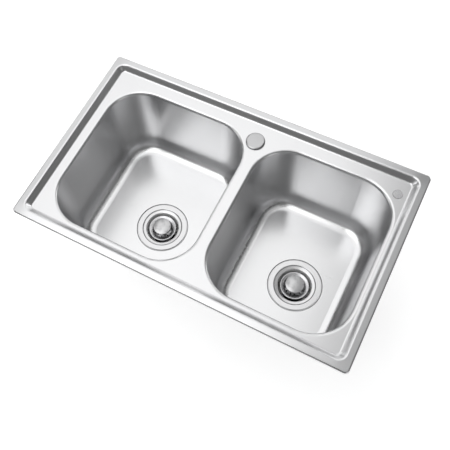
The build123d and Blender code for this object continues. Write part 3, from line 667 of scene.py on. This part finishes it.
for side in ("left", "right"):
    nut_steel, tree, skin, centred, lathe, bump = lathe_finish(
        side + "_nut_steel", middle_of(side + "_basket_nut"), dark=(0.62, 0.62, 0.63),
        light=(0.74, 0.74, 0.75), roughness=0.20, spread=0.14, relief=0.20)
    nodes[side + "_basket_stopper"].material_slots[0].material = black_ring
    nodes[side + "_basket_nut"].material_slots[0].material = nut_steel


# ---- corner disc -------------------------------------------------------------------------------------
# A small plain disc stuck on the deck in the right rear corner, polished finer than the deck round it.

def edge_shade(tree, skin, lathe, node, width, shade):
    """Painted shade: a darker line painted round a disc's edge."""
    low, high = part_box(node)
    past = add_math(tree, "SUBTRACT", lathe.outputs["Reach"], (high.x - low.x) / 2 - width)
    past = add_math(tree, "DIVIDE", past, width)
    past = hold_to_unit(tree, past)
    tone = add_tint(tree, past, lathe.outputs["Color"], shade)
    tree.links.new(tone, skin.inputs["Base Color"])


disc_steel, tree, skin, centred, lathe, bump = lathe_finish(
    "disc_steel", middle_of("corner_disc"), dark=(0.56, 0.56, 0.57), light=(0.65, 0.65, 0.66),
    roughness=0.22, spread=0.12, relief=0.10)
# Painted shade round the corner disc's edge.
edge_shade(tree, skin, lathe, "corner_disc", width=0.0007, shade=(0.24, 0.24, 0.245))
nodes["corner_disc"].material_slots[0].material = disc_steel


# ---- tap hole cover ----------------------------------------------------------------------------------
# A bevelled stainless disc closes the tap hole. A thin rubber ring seals it, and a white plastic plug
# with four sprung fingers holds it in the hole.

cover_steel, tree, skin, centred, lathe, bump = lathe_finish(
    "cover_steel", middle_of("tap_hole_cover"), dark=(0.42, 0.42, 0.425), light=(0.54, 0.54, 0.545),
    roughness=0.30, spread=0.14, relief=0.14)
# Painted shade round the tap hole cover's edge.
edge_shade(tree, skin, lathe, "tap_hole_cover", width=0.0022, shade=(0.22, 0.22, 0.225))
nodes["tap_hole_cover"].material_slots[0].material = cover_steel
nodes["tap_cover_ring"].material_slots[0].material = black_ring
nodes["tap_cover_legs"].material_slots[0].material = washer_plastic


# ---- studio ------------------------------------------------------------------------------------------
# A sheet of white paper under the waste pipes, soft boxes over and round the sink, a white room, and the
# camera at the photograph's angle. None of it belongs to the sink.

floor_height = cad_low.z - 0.0005
bpy.ops.mesh.primitive_plane_add(size=14.0, location=(0, 0, floor_height))
ground = bpy.context.object
ground.name = "studio_floor"
bpy.ops.object.transform_apply(location=True, rotation=True, scale=True)
paper = bpy.data.materials.new("floor_paper")
paper.use_nodes = True
paper_tree = paper.node_tree
paper_skin = paper_tree.nodes["Principled BSDF"]
paper_skin.inputs["Base Color"].default_value = (0.86, 0.86, 0.86, 1)
paper_skin.inputs["Roughness"].default_value = 0.9

# The lamps fall off across the paper, so the camera sees its far parts lifted to the room's white.
lit_reach = 1.2
fade_length = 2.0
near_lift = 0.6
far_lift = 1.1
mirror_lift = 0.1
paper_light = paper_tree.nodes.new("ShaderNodeLightPath")
paper_place = paper_tree.nodes.new("ShaderNodeTexCoord")
paper_reach = paper_tree.nodes.new("ShaderNodeVectorMath")
paper_reach.operation = "LENGTH"
paper_tree.links.new(paper_place.outputs["Object"], paper_reach.inputs[0])
far_off = add_math(paper_tree, "SUBTRACT", paper_reach.outputs["Value"], lit_reach)
far_off = add_math(paper_tree, "DIVIDE", far_off, fade_length)
far_off = hold_to_unit(paper_tree, far_off)
camera_lift = add_math(paper_tree, "MULTIPLY_ADD", far_off, far_lift - near_lift, near_lift)
camera_lift = add_math(paper_tree, "MULTIPLY", camera_lift, paper_light.outputs["Is Camera Ray"])
glossy_lift = add_math(paper_tree, "MULTIPLY", paper_light.outputs["Is Glossy Ray"], mirror_lift)
lift = add_math(paper_tree, "MAXIMUM", camera_lift, glossy_lift)
paper_skin.inputs["Emission Color"].default_value = (1, 1, 1, 1)
paper_tree.links.new(lift, paper_skin.inputs["Emission Strength"])

# Seen from below, the paper lets the view through to the sink's underside.
paper_side = paper_tree.nodes.new("ShaderNodeNewGeometry")
paper_clear = paper_tree.nodes.new("ShaderNodeBsdfTransparent")
paper_either = paper_tree.nodes.new("ShaderNodeMixShader")
paper_tree.links.new(paper_side.outputs["Backfacing"], paper_either.inputs["Fac"])
paper_tree.links.new(paper_skin.outputs["BSDF"], paper_either.inputs[1])
paper_tree.links.new(paper_clear.outputs["BSDF"], paper_either.inputs[2])
paper_end = paper_tree.nodes["Material Output"]
paper_tree.links.new(paper_either.outputs["Shader"], paper_end.inputs["Surface"])
ground.data.materials.append(paper)


def soft_box(name, place, target, width, depth, radiance):
    """A rectangular soft box that faces the target; its power follows from its area."""
    lamp = bpy.data.lights.new(name, "AREA")
    lamp.shape = "RECTANGLE"
    lamp.size = width
    lamp.size_y = depth
    lamp.energy = radiance * pi * width * depth
    made = bpy.data.objects.new(name, lamp)
    bpy.context.scene.collection.objects.link(made)
    made.location = place
    aim = Vector(target) - Vector(place)
    made.rotation_euler = aim.to_track_quat("-Z", "Y").to_euler()
    return made


# Each box has its place, target, width, depth and radiance. Those over the sink are brightest to the
# left; the low ones round it give the walls and the rim their lights.
soft_box("top_left", (-0.80, 0.90, 1.7), (-0.80, 0.90, 0), 2.2, 2.1, 1.22)
soft_box("top_right", (0.70, 0.40, 1.7), (0.70, 0.40, 0), 0.7, 2.1, 0.45)
soft_box("front_box", (-0.60, -0.98, 1.7), (-0.60, -0.98, 0), 1.5, 1.66, 2.0)
soft_box("left_front", (-2.30, -1.20, 0.6), (0, -1.20, 0.6), 1.3, 1.3, 1.3)
soft_box("left_rear", (-2.30, 1.20, 0.6), (0, 1.20, 0.6), 1.3, 1.3, 1.5)
soft_box("rear_box", (-0.75, 2.30, 0.6), (-0.75, 0, 0.6), 2.8, 1.3, 1.3)
soft_box("rear_right", (1.50, 2.30, 0.6), (1.50, 0, 0.6), 1.3, 1.3, 2.0)
soft_box("right_front", (2.30, -1.20, 0.6), (0, -1.20, 0.6), 1.3, 1.3, 1.2)

world = bpy.data.worlds.new("studio")
bpy.context.scene.world = world
world.use_nodes = True
room = world.node_tree
room.nodes["Background"].inputs["Color"].default_value = (1.0, 1.0, 1.0, 1)

# The room is pale at the horizon and dim overhead, as a studio with its ceiling lights off. The camera
# sees it white.
overhead_level = 0.12
horizon_level = 0.7
dimming = 5.0
dimming_bend = 0.7
room_place = room.nodes.new("ShaderNodeTexCoord")
room_z = add_split(room, room_place.outputs["Generated"])[2]
height_share = add_math(room, "ABSOLUTE", room_z)
height_share = add_math(room, "MULTIPLY", height_share, dimming)
height_share = add_math(room, "MINIMUM", height_share, 1.0)
height_share = add_math(room, "POWER", height_share, dimming_bend)
level = add_math(room, "MULTIPLY_ADD", height_share, overhead_level - horizon_level, horizon_level)
room_light = room.nodes.new("ShaderNodeLightPath")
level = add_math(room, "MAXIMUM", level, room_light.outputs["Is Camera Ray"])
room.links.new(level, room.nodes["Background"].inputs["Strength"])

camera = bpy.data.cameras.new("photo_camera")
camera.lens = 50.12
camera.sensor_width = 36.0
camera.shift_x = 0.0876
camera.shift_y = -0.0126
camera.clip_start = 0.05
camera.clip_end = 50.0
camera_stand = bpy.data.objects.new("photo_camera", camera)
bpy.context.scene.collection.objects.link(camera_stand)
camera_stand.location = (0.29214, -0.48693, 1.11409)
camera_stand.rotation_euler = (radians(24.755), radians(4.759), radians(28.139))
bpy.context.scene.camera = camera_stand
bpy.context.scene.view_settings.view_transform = "Standard"
